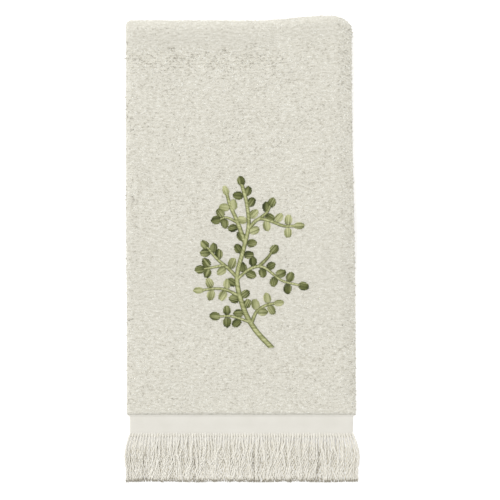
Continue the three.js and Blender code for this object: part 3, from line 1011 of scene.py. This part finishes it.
def fringe_piece(name, node, rows, cloth_end, tip, yarns, spread, seed):
    """Two layers of yarns whose plies come apart."""
    dice = np.random.default_rng(seed)
    left, right = float(rows.left), float(rows.right)
    half_width = (right - left) / 2 - YARN_WIDTH
    middle = (right + left) / 2
    share = np.linspace(0, 1, YARN_STATIONS)
    swaying = ramp(share, 0.08, 0.45)
    apart = ramp(share, 0.12, 0.6)
    bedding = ramp(share, 0.06, 0.25)
    dipping = ramp(share, 0.9, 1)

    def wave(low, high, slow, fast):
        size = dice.uniform(low, high)
        turns = share * dice.uniform(slow, fast) + dice.uniform()
        return size * np.sin(2 * math.pi * turns)

    clumps = np.arange(left, right, CLUMP)
    clumps = clumps + dice.uniform(-0.3, 0.3, len(clumps)) * CLUMP
    strands, tones, reach = [], [], []
    for level, (root, bed, parting) in enumerate(LAYERS_OF_YARN):
        free = 1 if level else LOWER_FREE
        for i in range(yarns):
            edge = 2 * i / (yarns - 1) - 1
            x = middle + half_width * edge
            outermost = middle + math.copysign(half_width + YARN_WIDTH / 2, edge)
            flare = max(0, spread - abs(outermost))
            inward = 1 - abs(edge) ** 12
            ragged = 0
            if i % LONGEST_EVERY:
                ragged = TIP_RAGGED * (RAGGED * (1 + vary(i, level)) + 1 - math.sin(x / 6.5))
            y = lerp(cloth_end + ROOTS_SHOW, tip - TIP_REACH + ragged, share)
            wander = free * (dice.uniform(-0.9, 0.9) + wave(0.4, 1.2, 0.4, 1.2) + wave(0.15, 0.4, 1.6, 3.2))
            nearest = clumps[np.abs(clumps - x).argmin()]
            gather = level * GATHER * (nearest - x) * ramp(share, 0.25, 1)
            shift = yarn_shift(x, edge, flare, share, parting)
            middle_x = x + shift + (wander * swaying + gather) * inward
            begin = ROOT_BETWEEN_FLAPS if level == 0 and abs(x) < FLAP_GAP else root
            uneven = (dice.uniform(-0.2, 0.3) + wave(0.05, 0.2, 1, 4)) * swaying
            middle_z = lerp(begin, bed, bedding) + uneven - TIPS_DIP * level * dipping
            turns = dice.uniform(1.5, 4)
            first = dice.uniform(0, 2 * math.pi)
            thick = dice.uniform(0.85, 1.12)
            out = lerp(0.85 * PLY_REACH, PLY_LOOSE[level], apart) * thick
            for ply in range(PLIES):
                angle = first + 2 * math.pi * (turns * share + ply / PLIES)
                own_x = (wave(0.08, 0.3, 0.8, 2) + wave(0.03, 0.1, 4, 7)) * apart * inward
                own_z = wave(0.05, 0.2, 1, 3) * apart
                ply_x = middle_x + own_x + out * np.cos(angle)
                ply_z = middle_z + own_z + 0.7 * out * np.sin(angle)
                strands.append(np.stack([ply_x, y, ply_z], -1))
                tones.append(ply_tone(dice.uniform(*YARN_TONES[level]), level, x, share))
                reach.append(thick)
    paths = np.array(strands)
    paths[:, -1, 1] += dice.uniform(-0.15, 0.25, len(paths))
    paths[..., 2] = np.maximum(paths[..., 2], PLY_RADIUS + 0.01)
    taper = np.interp(share, [0, 0.1, 0.94, 1], [0.9, 1, 1, 0.75])
    radii = PLY_RADIUS * np.array(reach)[:, None] * taper
    shape = tubes(paths, radii, 3, UP, np.array(tones), capped=True)
    piece = make_piece(name, shape, yarn_finish)
    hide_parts(node)
    return piece


front_rows = Rows(np.array(CLOTH_LENGTH + SEAM_GAP + HEADING_LENGTH))
front_yarns = fringe_piece(
    "front_fringe_yarns", "front_fringe", front_rows, FRONT_END, -HALF_LENGTH, FRONT_YARNS, HALF_SPREAD, 31
)
back_rows = Rows(np.array(-SEAM_GAP - HEADING_LENGTH))
back_yarns = fringe_piece(
    "back_fringe_yarns", "back_fringe", back_rows, BACK_END, BACK_TIP, BACK_YARNS, 0, 32
)

# The embroidery


def on_face(plan, height):
    """Points over the front's outer face from their plan and height above it."""
    return np.concatenate([plan, (face_height(plan[..., 0], plan[..., 1]) + height)[..., None]], -1)


def leaf_paths(leaf, dice):
    """Paths of a leaf's threads, and the tones of their points, with painted highlight and shade."""
    bx, by, wx, wy, length, width, kind = leaf
    aside = (np.arange(LEAF_THREADS) + 0.5) / LEAF_THREADS * 2 - 1
    reach = np.sqrt(1 - aside**2)[:, None] * np.linspace(-1, 1, LEAF_STATIONS)[None]
    # painted highlight on the leaf's middle and painted shade at its edge
    inside = 1 - np.minimum(1, aside[:, None] ** 2 + reach**2)
    # painted shade on one side of the leaf, turned at random
    darker = dice.uniform(0, 2 * math.pi)
    side = math.cos(darker) * aside[:, None] + math.sin(darker) * reach
    # each thread's own tone, partly painted sheen of the satin
    streaks = dice.uniform(-LEAF_STREAK, LEAF_STREAK, (LEAF_THREADS, 1))
    tones = dice.uniform(*LEAF_TONES[kind]) + streaks + LEAF_MIDDLE_HIGHLIGHT[kind] * (inside - 0.6) + LEAF_SIDE_SHADE * side
    aside = aside[:, None] * (1 - 0.1 * reach)
    rise = LEAF_CROWN * np.sqrt(np.clip(1 - aside**2 - reach**2, 0, 1)) - 0.35
    reach = reach + dice.uniform(-0.09, 0.09, (LEAF_THREADS, 1))
    plan = np.stack(
        [
            bx + wx * length / 2 * (1 + reach) - wy * width / 2 * aside,
            by + wy * length / 2 * (1 + reach) + wx * width / 2 * aside,
        ],
        -1,
    )
    return on_face(plan, rise), np.clip(tones, 0, 1)


def leaf_piece(name, kind, finish, seed):
    dice = np.random.default_rng(seed)
    own = [leaf for leaf in leaves if leaf[-1] == kind]
    paths, tones = (np.concatenate(part) for part in zip(*[leaf_paths(leaf, dice) for leaf in own]))
    widths = np.repeat([leaf[5] for leaf in own], LEAF_THREADS)[:, None]
    shape = tubes(paths, widths / LEAF_THREADS / 2 * THREADS_TOUCH, 4, UP, tones, capped=True)
    return make_piece(name, shape, finish)


def stem_piece(name, seed):
    """Slanted stitches across the stems, with painted highlight down the middle and painted shade at the
    edges.
    """
    dice = np.random.default_rng(seed)
    stitches, tones = [], []
    for stem, (line, width, tone) in stems.items():
        reach = LINE_STEP * (len(line) - 1)
        count = round(reach / STITCH_PITCH)
        centre, heading = along_line(line, (np.arange(count) + 0.5) / count)
        side = np.stack([-heading[:, 1], heading[:, 0]], -1)
        half = width / 2 * (1 - STEM_TAPER * ramp(np.arange(count) / count, 0.15, 1))[:, None, None]
        q = np.linspace(-1, 1, STITCH_STATIONS)[None, :, None]
        plan = centre[:, None] + side[:, None] * half * q + heading[:, None] * STITCH_SLANT * half * q
        rise = (STITCH_CROWN if stem == "main" else 0.8 * STITCH_CROWN) * (1 - q[..., 0] ** 2) - 0.05
        stitches.append(on_face(plan, rise + 0 * plan[..., 0]))
        # painted highlight on the stitches' crown, painted shade towards their ends
        highlight_and_shade = lerp(STEM_HIGHLIGHT, STEM_EDGE_SHADE, q[..., 0] ** 2)
        streak = dice.uniform(-STITCH_STREAK, STITCH_STREAK, (count, 1))
        tones.append(np.clip(tone + highlight_and_shade + streak, 0, 1))
    paths, tones = np.concatenate(stitches), np.concatenate(tones)
    shape = tubes(paths, STITCH_PITCH / 2 * STITCHES_TOUCH, 4, UP, tones, capped=True, flat=0.8)
    return make_piece(name, shape, light_finish)


dark_leaves = leaf_piece("sprig_dark_leaves", "dark", dark_finish, 41)
light_leaves = leaf_piece("sprig_light_leaves", "light", light_finish, 42)
stem_stitches = stem_piece("sprig_stems", 43)

# The floor


def plain_floor(half):
    mesh = bpy.data.meshes.new("floor")
    corners = [(-half, -half, 0), (half, -half, 0), (half, half, 0), (-half, half, 0)]
    mesh.from_pydata(corners, [], [(0, 1, 2, 3)])
    floor = bpy.data.objects.new("floor", mesh)
    bpy.context.scene.collection.objects.link(floor)
    material, _, shader = new_material("pale_floor")
    set_finish(shader, roughness=0.9, specular=0.0)
    shader.inputs["Base Color"].default_value = (0.9, 0.9, 0.9, 1)
    shader.inputs["Emission Color"].default_value = (1, 1, 1, 1)
    shader.inputs["Emission Strength"].default_value = 0.35
    mesh.materials.append(material)


plain_floor(half=4.0)

# Camera and light

LENS = 100
SENSOR = 36
SEEN_WIDTH = 304.6  # how much the photo shows across, at the height of SEEN_AT
SEEN_AT = 5
SEEN_CENTRE = (4.9, -0.6)
KEY_AT = (-1.4, 2.0, 3.0)  # in metres
KEY_SIZE = 2.2
KEY_POWER = 50.0
SKY = 0.8

scene = bpy.context.scene
camera = bpy.data.objects.new("camera", bpy.data.cameras.new("camera"))
camera.data.lens = LENS
camera.data.sensor_width = SENSOR
camera.data.clip_start = 0.01
camera.location = (SEEN_CENTRE[0] * MM, SEEN_CENTRE[1] * MM, (SEEN_AT + SEEN_WIDTH * LENS / SENSOR) * MM)
scene.collection.objects.link(camera)
scene.camera = camera

key = bpy.data.objects.new("key", bpy.data.lights.new("key", "AREA"))
key.data.shape = "DISK"
key.data.size = KEY_SIZE
key.data.energy = KEY_POWER
key.location = KEY_AT
# turned so that it shines at the origin
key.rotation_euler = (
    math.acos(KEY_AT[2] / math.hypot(*KEY_AT)),
    0,
    math.atan2(-KEY_AT[1], -KEY_AT[0]) - math.pi / 2,
)
scene.collection.objects.link(key)

world = bpy.data.worlds.new("studio")
world.use_nodes = True
sky = world.node_tree.nodes["Background"]
sky.inputs["Color"].default_value = (1, 1, 1, 1)
sky.inputs["Strength"].default_value = SKY
scene.world = world
scene.view_settings.view_transform = "Standard"
scene.view_settings.look = "None"
